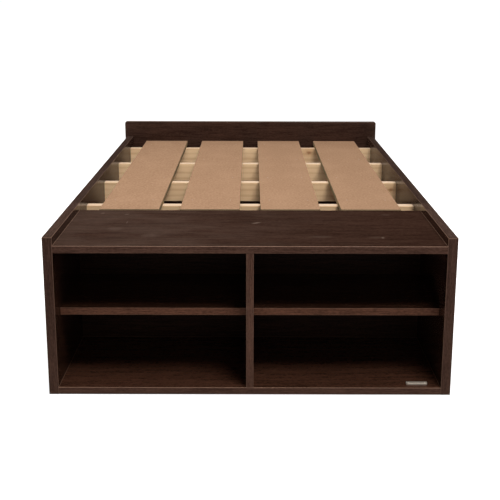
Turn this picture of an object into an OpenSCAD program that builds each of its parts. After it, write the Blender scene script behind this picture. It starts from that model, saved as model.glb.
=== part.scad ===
// Tatami platform bed with an open four-niche unit at its foot.
// Millimetres, +Z up. The foot faces -Y and the head panel stands at +Y.
// The origin lies on the floor under the middle of the bed.

/* [Bed] */
// Width over the two long sides
bed_w = 1050; // [900:10:1300]
// Length from the front edge of the foot to the head panel
inner_l = 1900; // [1800:10:2100]
// Height of the long sides above the floor
side_h = 423; // [400:1:460]
// Thickness of the long side panels
side_t = 25; // [22:1:30]
// Height of the lip that the long sides form above the top board
lip_h = 22; // [12:1:30]

/* [Head panel] */
// Height of the head panel above the floor
head_h = 485; // [470:5:600]
// Thickness of the head panel
head_t = 25; // [22:1:30]
// Overhang of the head panel past each long side
head_overhang = 9; // [4:1:20]
// Outside radius of its two upper corners
head_corner_r = 8; // [4:1:20]

/* [Niche unit] */
// Depth of the niche unit, front to back
unit_d = 448; // [420:1:480]
// Thickness of the top and bottom boards
board_t = 19; // [18:1:25]
// Thickness of the middle divider
divider_t = 19; // [19:1:25]
// Thickness of the two shelves
shelf_t = 19; // [16:1:25]
// Height of the upper face of the shelves above the floor
shelf_top = 217; // [180:1:240]
// Distance of the shelves behind the front edges
shelf_setback = 70; // [20:5:90]
// Gap at each end and behind a loose shelf
shelf_gap = 1; // [0.5:0.5:2]
// Thickness of the niche back
back_t = 18; // [18:1:25]
// Distance of the niche back in front of the rear edges of the sides
back_inset = 17; // [15:1:25]

/* [Deck] */
// Number of cross beams
beam_count = 4; // [3:1:4]
// Height of a cross beam, laid on edge
beam_h = 65; // [50:5:80]
// Thickness of a cross beam
beam_t = 35; // [30:1:45]
// Gap between the niche unit and the first cross beam
beam_front_gap = 127; // [110:1:150]
// Gap between the last cross beam and the head panel
beam_rear_gap = 90; // [60:5:120]
// Gap between a cross beam and each long side
beam_gap = 0.3; // [0.1:0.1:1]
// Radius along the edges of a cross beam
beam_edge_r = 2; // [1:0.5:5]
// Number of deck slats
slat_count = 4; // [3:1:4]
// Width of a deck slat
slat_w = 175; // [140:5:185]
// Thickness of a deck slat
slat_t = 15; // [12:1:18]
// Gap between an outer slat and the long side
slat_margin = 57; // [40:1:70]
// Height of the slats above the top board
slat_proud = 2.5; // [0:0.5:5]
// Gap at each end of a slat
slat_end_gap = 3; // [1:0.5:5]

/* [Cleats and corner blocks] */
// Width of the cleat that carries a beam end, across the bed
cleat_w = 28; // [24:1:35]
// Height of a cleat
cleat_h = 60; // [55:1:80]
// Width of a corner block across the bed
block_w = 40; // [36:1:50]
// Length over which a corner block lies along the rail
block_lap = 34; // [30:1:45]
// Height of a corner block
block_h = 260; // [220:10:280]
// Height of the lower end of a corner block above the floor
block_z = 60; // [40:5:80]
// Bevel along the free edges of cleats and corner blocks
batten_bevel = 4; // [2:0.5:6]

/* [Edge bands] */
// Thickness of the glued edge band
band_t = 1; // [0.8:0.1:1.5]
// Radius along the edges of the band
band_r = 0.7; // [0.3:0.1:0.8]

/* [Connecting screws] */
// Overall length of a connecting screw
confirmat_l = 50; // [48:1:55]
// Diameter of its head
confirmat_head_d = 10; // [9.5:0.1:11]
// Height of its head
confirmat_head_h = 4; // [3:0.5:5]
// Diameter of its plain shank
confirmat_shank_d = 7; // [6.8:0.1:7.5]
// Length of its plain shank
confirmat_shank_l = 9; // [6:0.5:12]
// Diameter of its threaded part
confirmat_thread_d = 6.4; // [5.5:0.1:6.6]
// Width across the flats of its hexagon socket
confirmat_hex = 4; // [3:0.5:5]
// Diameter of the cover cap over a screw head
cap_d = 13; // [12:0.5:15]
// Height of the cover cap outside the board
cap_rim = 1; // [0.8:0.1:1.5]
// Distance from a board's edge to its first joint
joint_edge = 60; // [50:5:80]

/* [Dowels, cams and shelf pins] */
// Diameter of a wooden dowel
dowel_d = 8; // [6:0.5:8]
// Length of a wooden dowel
dowel_l = 30; // [25:1:34]
// Diameter of a cam housing
cam_d = 15; // [14:0.5:16]
// Depth of a cam housing
cam_h = 12.5; // [12:0.5:13.5]
// Distance from the cam's axis to the end of the divider
cam_reach = 24; // [22:1:30]
// Diameter of the neck of a cam bolt
cam_bolt_d = 5; // [4:0.5:5.5]
// Diameter of the head and thread of a cam bolt
cam_bolt_head_d = 7; // [6.5:0.1:7.5]
// Length of the head of a cam bolt
cam_bolt_head_l = 3; // [2:0.5:4]
// Depth to which a cam bolt is screwed into the top board
cam_bolt_l = 11; // [9:0.5:13]
// Diameter of a shelf pin in its hole
pin_d = 5; // [4:0.5:6]
// Length of a shelf pin in its hole
pin_l = 8; // [6:0.5:8.5]
// Diameter of the stub that carries the shelf
pin_stub_d = 7; // [6.5:0.5:9]
// Length of that stub
pin_stub_l = 9; // [7:0.5:12]
// Distance from a shelf's front and rear edge to its pins
pin_edge = 50; // [40:5:70]

/* [Wood screws, nails and glides] */
// Diameter of the wood screws in cleats and corner blocks
wood_screw_d = 4; // [3.5:0.1:4.5]
// Diameter of their countersunk heads
wood_screw_head_d = 8; // [7:0.5:9]
// Depth to which a wood screw bites into the piece behind
wood_screw_bite = 15; // [12:1:16]
// Diameter of a slat nail
nail_d = 1.8; // [1.4:0.1:2]
// Diameter of its small flat head
nail_head_d = 2.6; // [2.4:0.1:3]
// Thickness of that head
nail_head_h = 0.8; // [0.5:0.1:1]
// Length of a slat nail
nail_l = 35; // [30:1:45]
// Diameter of a floor glide
glide_d = 18; // [14:1:20]
// Height of a floor glide
glide_h = 2; // [1.5:0.5:4]
// Diameter of the pin of a floor glide
glide_pin_d = 2.4; // [2:0.1:3]
// Length of the pin of a floor glide
glide_pin_l = 12; // [8:1:15]

/* [Fits] */
// Radial clearance of a fitting in its bore
fit = 0.05; // [0.02:0.01:0.1]
// Free depth of a bore past the tip of a fitting
bore_end = 1; // [0.5:0.5:2]

/* [Hidden] */
$fn = 48;

wenge = "#46322a";
wenge_edge = "#54402f";
pine = "#d8b48a";
raw_board = "#b8936f";
zinc = "#b9bcc0";
dark_plastic = "#2b211d";
beech = "#cfa878";

half_w = bed_w / 2;
inner_x = half_w - side_t;
head_half_w = half_w + head_overhang;
front_y = -(inner_l + head_t + cap_rim) / 2;
deck_top = side_h - lip_h;
deck_under = deck_top - board_t;
floor_top = glide_h + board_t;
back_y = unit_d - back_inset - back_t;
divider_x = divider_t / 2;
shelf_under = shelf_top - shelf_t;
beam_top = deck_top + slat_proud - slat_t;
beam_under = beam_top - beam_h;
beam_first = unit_d + beam_front_gap;
beam_pitch = (inner_l - beam_rear_gap - beam_t - beam_first) / (beam_count - 1);
cleat_under = beam_under - cleat_h;
block_y = back_y + back_t;
block_d = back_inset + block_lap;
slat_gap = (2 * (inner_x - slat_margin) - slat_count * slat_w) / (slat_count - 1);
slat_y = unit_d + slat_end_gap;
slat_l = inner_l - unit_d - 2 * slat_end_gap;
rail_mid_x = half_w - side_t / 2;

// Where the joints sit
unit_joint_ys = [joint_edge, unit_d / 2, unit_d - joint_edge];
back_joint_zs = [floor_top + joint_edge, deck_under - joint_edge];
divider_joint_ys = [joint_edge, back_y / 2, back_y - joint_edge];
cam_ys = [joint_edge, back_y - joint_edge];
divider_dowel_ys = [joint_edge + 4 * dowel_d, back_y - joint_edge - 4 * dowel_d];
head_joint_zs = [joint_edge, side_h / 2, side_h - joint_edge];
head_dowel_zs = [side_h / 2 - joint_edge, side_h / 2 + joint_edge];
rail_dowel_zs = [joint_edge, side_h / 2, side_h - joint_edge];
pin_ys = [shelf_setback + pin_edge, back_y - pin_edge];
pin_z = shelf_under - pin_stub_d / 2;
cleat_screw_zs = [cleat_under + 0.2 * cleat_h, cleat_under + 0.6 * cleat_h];
block_side_zs = [block_z + 0.15 * block_h, block_z + 0.65 * block_h];
block_back_zs = [block_z + 0.35 * block_h, block_z + 0.85 * block_h];
block_side_y = unit_d + dowel_l / 2 + bore_end + wood_screw_d;
block_back_x = inner_x - block_w / 2;
side_glide_ys = [joint_edge / 2, unit_d - joint_edge / 2];
rail_glide_ys = [unit_d + joint_edge, (unit_d + inner_l) / 2, inner_l - joint_edge];
head_glide_x = head_half_w / 2;

function beam_y(i) = beam_first + i * beam_pitch;
function beam_mid_y(i) = beam_y(i) + beam_t / 2;
function slat_mid_x(i) = (i - (slat_count - 1) / 2) * (slat_w + slat_gap);

// Moves its children to a place given from the front edge of the foot
module at(x, y, z) {
    translate([x, front_y + y, z]) children();
}

// Turn +Z to the right, to the left or to the head
module to_right() {
    rotate([0, 90, 0]) children();
}

module to_left() {
    rotate([0, -90, 0]) children();
}

module to_head() {
    rotate([-90, 0, 0]) children();
}

module both_sides() {
    children();
    mirror([1, 0, 0]) children();
}

// A plain board from one corner to the other
module board(x0, y0, z0, x1, y1, z1) {
    at(x0, y0, z0) cube([x1 - x0, y1 - y0, z1 - z0]);
}

// ---- Edge bands ----

// Section of an edge band: flat on the board, rounded along its two outer edges
module band_section(w) {
    intersection() {
        square([w, band_t]);
        union() {
            square([w, band_t - band_r]);
            translate([band_r, 0]) square([w - 2 * band_r, band_t]);
            for (x = [band_r, w - band_r])
                translate([x, band_t - band_r]) circle(band_r, $fn = 24);
        }
    }
}

// Band on a top edge: w wide in X, l long in Y, its outer face at the top
module top_band(w, l) {
    translate([0, l, 0]) rotate([90, 0, 0]) linear_extrude(l) band_section(w);
}

// Band on an upright front edge: w wide in X, h high, its outer face to the front
module front_band(w, h) {
    translate([w, band_t, 0]) rotate([0, 0, 180]) linear_extrude(h) band_section(w);
}

// Band on the front edge of a flat board: l long in X, t high
module board_band(l, t) {
    translate([0, band_t, t]) rotate([90, 90, 90]) linear_extrude(l)
        mirror([0, 1]) band_section(t);
}

// ---- Fittings and their bores, drawn from the head at 0 towards +Z ----

module connecting_screw() {
    thread_z = confirmat_head_h + confirmat_shank_l;
    tip = 2;
    difference() {
        union() {
            cylinder(h = confirmat_head_h, d = confirmat_head_d);
            cylinder(h = thread_z, d = confirmat_shank_d);
            cylinder(h = confirmat_l - tip, d = confirmat_thread_d);
            translate([0, 0, confirmat_l - tip])
                cylinder(h = tip, d1 = confirmat_thread_d, d2 = confirmat_thread_d - tip);
        }
        translate([0, 0, -0.01])
            cylinder(h = confirmat_head_h, d = confirmat_hex / cos(30), $fn = 6);
    }
}

// Stepped bore through the outer board, t thick
module screw_clearance(t) {
    translate([0, 0, -1]) cylinder(h = confirmat_head_h + 1, d = confirmat_head_d + 2 * fit);
    cylinder(h = t + 1, d = confirmat_shank_d + 2 * fit);
}

// Blind bore in the second board, behind an outer board t thick
module screw_pilot(t) {
    translate([0, 0, t - 1])
        cylinder(h = confirmat_l - t + 1 + bore_end, d = confirmat_thread_d + 2 * fit);
}

// Domed cap that lies on the board over a screw head, its plug in the socket
module cover_cap() {
    plug_l = 0.6 * confirmat_head_h;
    translate([0, 0, -cap_rim / 2]) cylinder(h = cap_rim / 2, d = cap_d);
    translate([0, 0, -cap_rim]) cylinder(h = cap_rim / 2, d1 = cap_d - cap_rim, d2 = cap_d);
    cylinder(h = plug_l, d = confirmat_hex - 2 * fit);
}

// Grooved dowel, centred on the joint
module dowel() {
    bevel = 1;
    flute_l = dowel_l - 4 * bevel;
    difference() {
        union() {
            translate([0, 0, -dowel_l / 2 + bevel]) cylinder(h = dowel_l - 2 * bevel, d = dowel_d);
            for (s = [0, 1]) mirror([0, 0, s]) translate([0, 0, dowel_l / 2 - bevel])
                cylinder(h = bevel, d1 = dowel_d, d2 = dowel_d - 2 * bevel);
        }
        for (a = [0 : 45 : 315]) rotate([0, 0, a])
            translate([dowel_d / 2, 0, -flute_l / 2]) cylinder(h = flute_l, d = 0.8, $fn = 16);
    }
}

module dowel_bore() {
    depth = dowel_l / 2 + bore_end;
    translate([0, 0, -depth]) cylinder(h = 2 * depth, d = dowel_d + 2 * fit);
}

// Countersunk wood screw through a batten t thick
module wood_screw(t) {
    head_h = wood_screw_head_d / 4;
    l = t + wood_screw_bite;
    difference() {
        union() {
            cylinder(h = head_h, d1 = wood_screw_head_d, d2 = wood_screw_d);
            cylinder(h = l - wood_screw_d, d = wood_screw_d);
            translate([0, 0, l - wood_screw_d]) cylinder(h = wood_screw_d, d1 = wood_screw_d, d2 = 0.6);
        }
        for (a = [0, 90]) rotate([0, 0, a])
            translate([-wood_screw_d / 2, -0.4, -0.01]) cube([wood_screw_d, 0.8, head_h / 2]);
    }
}

module wood_screw_bore(t) {
    head_h = wood_screw_head_d / 4;
    l = t + wood_screw_bite + bore_end;
    translate([0, 0, -0.01]) cylinder(h = head_h, d1 = wood_screw_head_d + 2 * fit, d2 = wood_screw_d + 2 * fit);
    translate([0, 0, -1]) cylinder(h = l + 1, d = wood_screw_d + 2 * fit);
}

module slat_nail() {
    cylinder(h = nail_head_h, d = nail_head_d);
    cylinder(h = nail_l - nail_d, d = nail_d);
    translate([0, 0, nail_l - nail_d]) cylinder(h = nail_d, d1 = nail_d, d2 = 0.4);
}

module slat_nail_bore() {
    translate([0, 0, -1]) cylinder(h = nail_head_h + 1, d = nail_head_d + 2 * fit);
    cylinder(h = nail_l + bore_end, d = nail_d + 2 * fit);
}

// Floor glide, from the floor up
module floor_glide() {
    cylinder(h = glide_h / 2, d1 = glide_d - glide_h, d2 = glide_d);
    translate([0, 0, glide_h / 2]) cylinder(h = glide_h / 2, d = glide_d);
    cylinder(h = glide_h + glide_pin_l - glide_pin_d, d = glide_pin_d);
    translate([0, 0, glide_h + glide_pin_l - glide_pin_d])
        cylinder(h = glide_pin_d, d1 = glide_pin_d, d2 = 0.5);
}

module glide_bore() {
    cylinder(h = glide_h + glide_pin_l + bore_end, d = glide_pin_d + 2 * fit);
}

// Cam housing, its slotted face at 0, its axis along +Z and its mouth towards +X
module cam_lock() {
    cross = [cam_d / 2, 1.6];
    axis_z = divider_t / 2;
    throat = cam_bolt_d + 1;
    difference() {
        cylinder(h = cam_h, d = cam_d - 2 * fit);
        for (a = [45, 135]) rotate([0, 0, a])
            translate([-cross[0] / 2, -cross[1] / 2, -0.01]) cube([cross[0], cross[1], 3]);
        // Mouth for the neck of the bolt, open to the bolt's side
        translate([0, -throat / 2, axis_z - throat / 2]) cube([cam_d, throat, cam_h]);
        // Room for the head of the bolt behind the two jaws
        translate([0, 0, axis_z - cam_bolt_head_d / 2 - 0.5])
            cylinder(h = cam_h, d = cam_bolt_head_d + 3);
    }
}

// Cam bolt from the joint plane at 0: thread above, neck and head below
module cam_bolt() {
    collar = 1.5;
    translate([0, 0, -collar]) cylinder(h = cam_bolt_l + collar, d = cam_bolt_head_d);
    translate([0, 0, -cam_reach]) cylinder(h = cam_reach, d = cam_bolt_d);
    translate([0, 0, -cam_reach - cam_bolt_head_l / 2])
        cylinder(h = cam_bolt_head_l, d = cam_bolt_head_d);
}

// Bore for the cam bolt, in both boards
module cam_bolt_bore() {
    below = cam_reach + cam_bolt_head_l / 2 + bore_end;
    translate([0, 0, -below])
        cylinder(h = below + cam_bolt_l + bore_end, d = cam_bolt_head_d + 2 * fit);
}

// Shelf pin from the face of the board at 0: hole side to +Z, stub to -Z
module shelf_pin() {
    cylinder(h = pin_l, d = pin_d);
    translate([0, 0, -pin_stub_l]) cylinder(h = pin_stub_l, d = pin_stub_d);
}

module shelf_pin_bore() {
    translate([0, 0, -1]) cylinder(h = pin_l + 1 + bore_end / 2, d = pin_d + 2 * fit);
}

// ---- Joint patterns, drawn on the left half ----

module unit_screw_places() {
    for (z = [deck_top - board_t / 2, glide_h + board_t / 2], y = unit_joint_ys)
        at(-half_w, y, z) to_right() children();
    for (z = back_joint_zs)
        at(-half_w, back_y + back_t / 2, z) to_right() children();
}

module head_screw_places() {
    for (z = head_joint_zs)
        at(-rail_mid_x, inner_l + head_t, z) rotate([90, 0, 0]) children();
}

module divider_screw_places() {
    for (y = divider_joint_ys) at(0, y, glide_h) children();
}

module rail_dowel_places() {
    for (z = rail_dowel_zs) at(-rail_mid_x, unit_d, z) to_head() children();
}

module head_dowel_places() {
    for (z = head_dowel_zs) at(-rail_mid_x, inner_l, z) to_head() children();
}

module divider_dowel_places() {
    for (y = divider_dowel_ys) at(0, y, deck_under) children();
}

module cam_bolt_places() {
    for (y = cam_ys) at(0, y, deck_under) children();
}

// The cams' slotted faces look into the upper right niche, their mouths point up
module cam_places() {
    for (y = cam_ys) at(divider_x, y, deck_under - cam_reach) to_left() children();
}

module side_pin_places() {
    for (y = pin_ys) at(-inner_x, y, pin_z) to_left() children();
}

module divider_pin_places() {
    for (y = pin_ys) at(-divider_x, y, pin_z) to_right() children();
}

module cleat_screw_places(i) {
    for (z = cleat_screw_zs) at(-inner_x + cleat_w, beam_mid_y(i), z) to_left() children();
}

module cleat_dowel_places(i) {
    at(-inner_x + cleat_w / 2, beam_mid_y(i), beam_under) children();
}

module block_side_screw_places() {
    for (z = block_side_zs) at(-inner_x + block_w, block_side_y, z) to_left() children();
}

module block_back_screw_places() {
    for (z = block_back_zs) at(-block_back_x, block_y + block_d, z) rotate([90, 0, 0]) children();
}

module slat_nail_places(i, j) {
    for (s = [-1, 1])
        at(slat_mid_x(i) + s * slat_w / 3, beam_mid_y(j), beam_top + slat_t) mirror([0, 0, 1]) children();
}

module side_glide_places() {
    for (y = side_glide_ys) at(-rail_mid_x, y, 0) children();
}

module rail_glide_places() {
    for (y = rail_glide_ys) at(-rail_mid_x, y, 0) children();
}

module head_glide_places() {
    at(-head_glide_x, inner_l + head_t / 2, 0) children();
}

// ---- Niche unit ----

module unit_side() {
    difference() {
        board(-half_w, band_t, glide_h, -inner_x, unit_d, side_h - band_t);
        unit_screw_places() screw_clearance(side_t);
        rail_dowel_places() dowel_bore();
        side_pin_places() shelf_pin_bore();
        side_glide_places() glide_bore();
    }
}

module side_left() {
    color(wenge) unit_side();
}

module side_right() {
    color(wenge) mirror([1, 0, 0]) unit_side();
}

module top_board() {
    color(wenge) difference() {
        board(-inner_x, band_t, deck_under, inner_x, unit_d, deck_top);
        both_sides() unit_screw_places() screw_pilot(side_t);
        divider_dowel_places() dowel_bore();
        cam_bolt_places() cam_bolt_bore();
    }
}

module bottom_board() {
    color(wenge) difference() {
        board(-inner_x, band_t, glide_h, inner_x, unit_d, floor_top);
        both_sides() unit_screw_places() screw_pilot(side_t);
        divider_screw_places() screw_clearance(board_t);
    }
}

module divider() {
    color(wenge) difference() {
        board(-divider_x, band_t, floor_top, divider_x, back_y, deck_under);
        divider_screw_places() screw_pilot(board_t);
        divider_dowel_places() dowel_bore();
        cam_bolt_places() cam_bolt_bore();
        cam_places() translate([0, 0, -1]) cylinder(h = cam_h + 1 + fit, d = cam_d);
        both_sides() divider_pin_places() shelf_pin_bore();
    }
}

module shelf() {
    color(wenge) board(
        -inner_x + shelf_gap, shelf_setback + band_t, shelf_under,
        -divider_x - shelf_gap, back_y - shelf_gap, shelf_top
    );
}

module shelf_left() {
    shelf();
}

module shelf_right() {
    mirror([1, 0, 0]) shelf();
}

module niche_back() {
    color(wenge) difference() {
        board(-inner_x, back_y, floor_top, inner_x, back_y + back_t, deck_under);
        both_sides() unit_screw_places() screw_pilot(side_t);
        both_sides() block_back_screw_places() wood_screw_bore(block_d);
    }
}

// ---- Rails and head panel ----

module rail() {
    color(wenge) difference() {
        board(-half_w, unit_d, glide_h, -inner_x, inner_l, side_h - band_t);
        rail_dowel_places() dowel_bore();
        head_dowel_places() dowel_bore();
        head_screw_places() screw_pilot(head_t);
        for (i = [0 : beam_count - 1]) cleat_screw_places(i) wood_screw_bore(cleat_w);
        block_side_screw_places() wood_screw_bore(block_w);
        rail_glide_places() glide_bore();
    }
}

module rail_left() {
    rail();
}

module rail_right() {
    mirror([1, 0, 0]) rail();
}

// Outline of the head panel inside its edge band, seen from the foot
module head_outline() {
    x = head_half_w - band_t;
    top = head_h - band_t;
    r = head_corner_r - band_t;
    translate([-x, glide_h]) square([2 * x, top - r - glide_h]);
    translate([-x + r, glide_h]) square([2 * (x - r), top - glide_h]);
    for (s = [-1, 1]) translate([s * (x - r), top - r]) circle(r);
}

module head_panel() {
    color(wenge) difference() {
        at(0, inner_l + head_t, 0) rotate([90, 0, 0]) linear_extrude(head_t) head_outline();
        both_sides() head_screw_places() screw_clearance(head_t);
        both_sides() head_dowel_places() dowel_bore();
        both_sides() head_glide_places() glide_bore();
    }
}

// One band runs up one edge, round both corners and down the other edge
module head_edge_band() {
    corner_x = head_half_w - head_corner_r;
    corner_z = head_h - head_corner_r;
    color(wenge_edge) {
        at(-corner_x, inner_l, head_h - band_t) rotate([90, 0, 90]) linear_extrude(2 * corner_x)
            band_section(head_t);
        both_sides() {
            at(-corner_x, inner_l, corner_z) rotate([-90, 180, 0]) rotate_extrude(angle = 90, $fn = 64)
                translate([head_corner_r - band_t, 0]) rotate([0, 0, 90]) mirror([0, 1]) band_section(head_t);
            at(-head_half_w + band_t, inner_l, glide_h) linear_extrude(corner_z - glide_h)
                rotate([0, 0, 90]) band_section(head_t);
        }
    }
}

// ---- Edge bands of the boards ----

module side_front_bands() {
    color(wenge_edge) both_sides() at(-half_w, 0, glide_h)
        front_band(side_t, side_h - band_t - glide_h);
}

module side_top_bands() {
    color(wenge_edge) both_sides() at(-half_w, 0, side_h - band_t) top_band(side_t, unit_d);
}

module board_edge_bands() {
    color(wenge_edge) for (z = [glide_h, deck_under])
        at(-inner_x, 0, z) board_band(2 * inner_x, board_t);
}

module divider_edge_band() {
    color(wenge_edge) at(-divider_x, 0, floor_top) front_band(divider_t, deck_under - floor_top);
}

module shelf_edge_bands() {
    color(wenge_edge) both_sides() at(-inner_x + shelf_gap, shelf_setback, shelf_under)
        board_band(inner_x - divider_x - 2 * shelf_gap, shelf_t);
}

module rail_edge_bands() {
    color(wenge_edge) both_sides() at(-half_w, unit_d, side_h - band_t)
        top_band(side_t, inner_l - unit_d);
}

// ---- Deck ----

// Planed beam with rounded long edges
module cross_beam(i) {
    r = beam_edge_r;
    l = 2 * (inner_x - beam_gap);
    color(pine) difference() {
        at(-l / 2, beam_y(i), beam_under) rotate([90, 0, 90]) linear_extrude(l) {
            translate([r, 0]) square([beam_t - 2 * r, beam_h]);
            translate([0, r]) square([beam_t, beam_h - 2 * r]);
            for (y = [r, beam_t - r], z = [r, beam_h - r]) translate([y, z]) circle(r);
        }
        both_sides() cleat_dowel_places(i) dowel_bore();
        for (s = [0 : slat_count - 1]) slat_nail_places(s, i) slat_nail_bore();
    }
}

module cross_beam_1() {
    cross_beam(0);
}

module cross_beam_2() {
    cross_beam(1);
}

module cross_beam_3() {
    cross_beam(2);
}

module cross_beam_4() {
    cross_beam(3);
}

module slat(i) {
    x0 = slat_mid_x(i) - slat_w / 2;
    color(raw_board) difference() {
        board(x0, slat_y, beam_top, x0 + slat_w, slat_y + slat_l, beam_top + slat_t);
        for (j = [0 : beam_count - 1]) slat_nail_places(i, j) slat_nail_bore();
    }
}

module slat_1() {
    slat(0);
}

module slat_2() {
    slat(1);
}

module slat_3() {
    slat(2);
}

module slat_4() {
    slat(3);
}

// Block under a beam end, as thick as the beam, its free lower edge bevelled
module cleat(i) {
    b = batten_bevel;
    color(pine) difference() {
        at(-inner_x, beam_y(i) + beam_t, cleat_under) rotate([90, 0, 0]) linear_extrude(beam_t)
            polygon([[0, 0], [cleat_w - b, 0], [cleat_w, b], [cleat_w, cleat_h], [0, cleat_h]]);
        cleat_screw_places(i) wood_screw_bore(cleat_w);
        cleat_dowel_places(i) dowel_bore();
    }
}

module cleat_left_1() {
    cleat(0);
}

module cleat_left_2() {
    cleat(1);
}

module cleat_left_3() {
    cleat(2);
}

module cleat_left_4() {
    cleat(3);
}

module cleat_right_1() {
    mirror([1, 0, 0]) cleat(0);
}

module cleat_right_2() {
    mirror([1, 0, 0]) cleat(1);
}

module cleat_right_3() {
    mirror([1, 0, 0]) cleat(2);
}

module cleat_right_4() {
    mirror([1, 0, 0]) cleat(3);
}

// Upright block in the corner behind the niche back, its free corner bevelled
module corner_block() {
    color(pine) difference() {
        at(-inner_x, block_y, block_z) linear_extrude(block_h)
            polygon([
                [0, 0], [block_w, 0], [block_w, block_d - batten_bevel],
                [block_w - batten_bevel, block_d], [0, block_d]
            ]);
        block_side_screw_places() wood_screw_bore(block_w);
        block_back_screw_places() wood_screw_bore(block_d);
    }
}

module corner_block_left() {
    corner_block();
}

module corner_block_right() {
    mirror([1, 0, 0]) corner_block();
}

// ---- Fittings in place ----

module connecting_screws() {
    color(zinc) {
        both_sides() {
            unit_screw_places() connecting_screw();
            head_screw_places() connecting_screw();
        }
        divider_screw_places() connecting_screw();
    }
}

module cover_caps() {
    color(dark_plastic) both_sides() {
        unit_screw_places() cover_cap();
        head_screw_places() cover_cap();
    }
}

module dowels() {
    color(beech) {
        both_sides() {
            rail_dowel_places() dowel();
            head_dowel_places() dowel();
            for (i = [0 : beam_count - 1]) cleat_dowel_places(i) dowel();
        }
        divider_dowel_places() dowel();
    }
}

module cam_locks() {
    color(zinc) cam_places() cam_lock();
}

module cam_bolts() {
    color(zinc) cam_bolt_places() cam_bolt();
}

module shelf_pins() {
    color(zinc) both_sides() {
        side_pin_places() shelf_pin();
        divider_pin_places() shelf_pin();
    }
}

module wood_screws() {
    color(zinc) both_sides() {
        for (i = [0 : beam_count - 1]) cleat_screw_places(i) wood_screw(cleat_w);
        block_side_screw_places() wood_screw(block_w);
        block_back_screw_places() wood_screw(block_d);
    }
}

module slat_nails() {
    color(zinc) for (i = [0 : slat_count - 1], j = [0 : beam_count - 1])
        slat_nail_places(i, j) slat_nail();
}

module floor_glides() {
    color(dark_plastic) both_sides() {
        side_glide_places() floor_glide();
        rail_glide_places() floor_glide();
        head_glide_places() floor_glide();
    }
}

side_left();
side_right();
rail_left();
rail_right();
head_panel();
top_board();
bottom_board();
divider();
shelf_left();
shelf_right();
niche_back();
cross_beam_1();
cross_beam_2();
cross_beam_3();
cross_beam_4();
slat_1();
slat_2();
slat_3();
slat_4();
cleat_left_1();
cleat_left_2();
cleat_left_3();
cleat_left_4();
cleat_right_1();
cleat_right_2();
cleat_right_3();
cleat_right_4();
corner_block_left();
corner_block_right();
side_front_bands();
side_top_bands();
board_edge_bands();
divider_edge_band();
shelf_edge_bands();
rail_edge_bands();
head_edge_band();
connecting_screws();
cover_caps();
dowels();
cam_locks();
cam_bolts();
shelf_pins();
wood_screws();
slat_nails();
floor_glides();
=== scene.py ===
"""Looks, light and camera for a low platform bed with open niches at its foot.

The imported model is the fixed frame: dark wood-grain boards with glued edge bands,
bare pine beams, raw fibreboard slats and the fittings that hold them together.
This script gives every node its finish, adds the bare metal plate that lies in the
lower right niche, and sets up the floor, the lamps and the camera.
Lengths are in metres, in the frame of the model: the foot faces -Y, +Z is up.
"""

import logging
import math
from dataclasses import dataclass
from enum import Enum
from functools import reduce
from typing import Any, Callable, Dict, Optional, Tuple, Union

import bpy
from mathutils import Matrix, Vector


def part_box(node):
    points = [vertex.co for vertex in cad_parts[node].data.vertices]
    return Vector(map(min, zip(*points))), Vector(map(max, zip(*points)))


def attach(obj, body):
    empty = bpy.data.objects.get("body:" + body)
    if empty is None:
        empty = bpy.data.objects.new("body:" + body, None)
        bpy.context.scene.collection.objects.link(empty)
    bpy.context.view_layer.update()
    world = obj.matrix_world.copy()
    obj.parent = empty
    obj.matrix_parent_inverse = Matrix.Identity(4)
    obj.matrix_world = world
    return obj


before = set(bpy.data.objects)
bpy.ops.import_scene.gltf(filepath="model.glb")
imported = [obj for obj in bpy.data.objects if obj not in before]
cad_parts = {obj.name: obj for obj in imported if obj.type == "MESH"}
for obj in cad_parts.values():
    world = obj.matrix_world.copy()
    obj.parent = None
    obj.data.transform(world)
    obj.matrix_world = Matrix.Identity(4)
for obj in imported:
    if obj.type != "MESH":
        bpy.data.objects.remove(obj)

LOG = logging.getLogger("platform_bed")
MM = 0.001
Colour = Tuple[float, float, float, float]
Place = Tuple[float, float, float]
Span = Tuple[float, float]
SocketKey = Union[str, int]
WHITE: Colour = (1.0, 1.0, 1.0, 1.0)


def linear(level: int) -> float:
    """Return the linear value of one level, 0 to 255, of an sRGB colour."""
    part = level / 255
    return part / 12.92 if part <= 0.04045 else ((part + 0.055) / 1.055) ** 2.4


def shade(red: int, green: int, blue: int) -> Colour:
    """Turn a colour as it is seen into the linear one that a shader takes.

    Args:
        red: Red, 0 to 255.
        green: Green, 0 to 255.
        blue: Blue, 0 to 255.

    Returns:
        The linear colour with full alpha.
    """
    return (linear(red), linear(green), linear(blue), 1.0)


class Axis(Enum):
    """An axis, by its place in a vector."""

    X = 0
    Y = 1
    Z = 2


@dataclass(frozen=True)
class Noise:
    """A pattern of soft spots.

    The pitch is the size of a spot along X, Y and Z. The shift moves the pattern, so
    that two of them differ. Detail says how many finer layers it has, and roughness
    how strong those are.
    """

    pitch: Place
    shift: float = 0.0
    detail: float = 3.0
    roughness: float = 0.5


@dataclass(frozen=True)
class Streak:
    """A pattern drawn out along the grain.

    It has the length and the width of a streak. The rest is as in Noise.
    """

    length: float
    width: float
    shift: float = 0.0
    detail: float = 3.0

    def along(self, grain: Axis) -> Noise:
        """Return the pattern with its streaks along an axis."""
        sizes = [self.length if axis is grain else self.width for axis in Axis]
        return Noise((sizes[0], sizes[1], sizes[2]), self.shift, self.detail)


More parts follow.
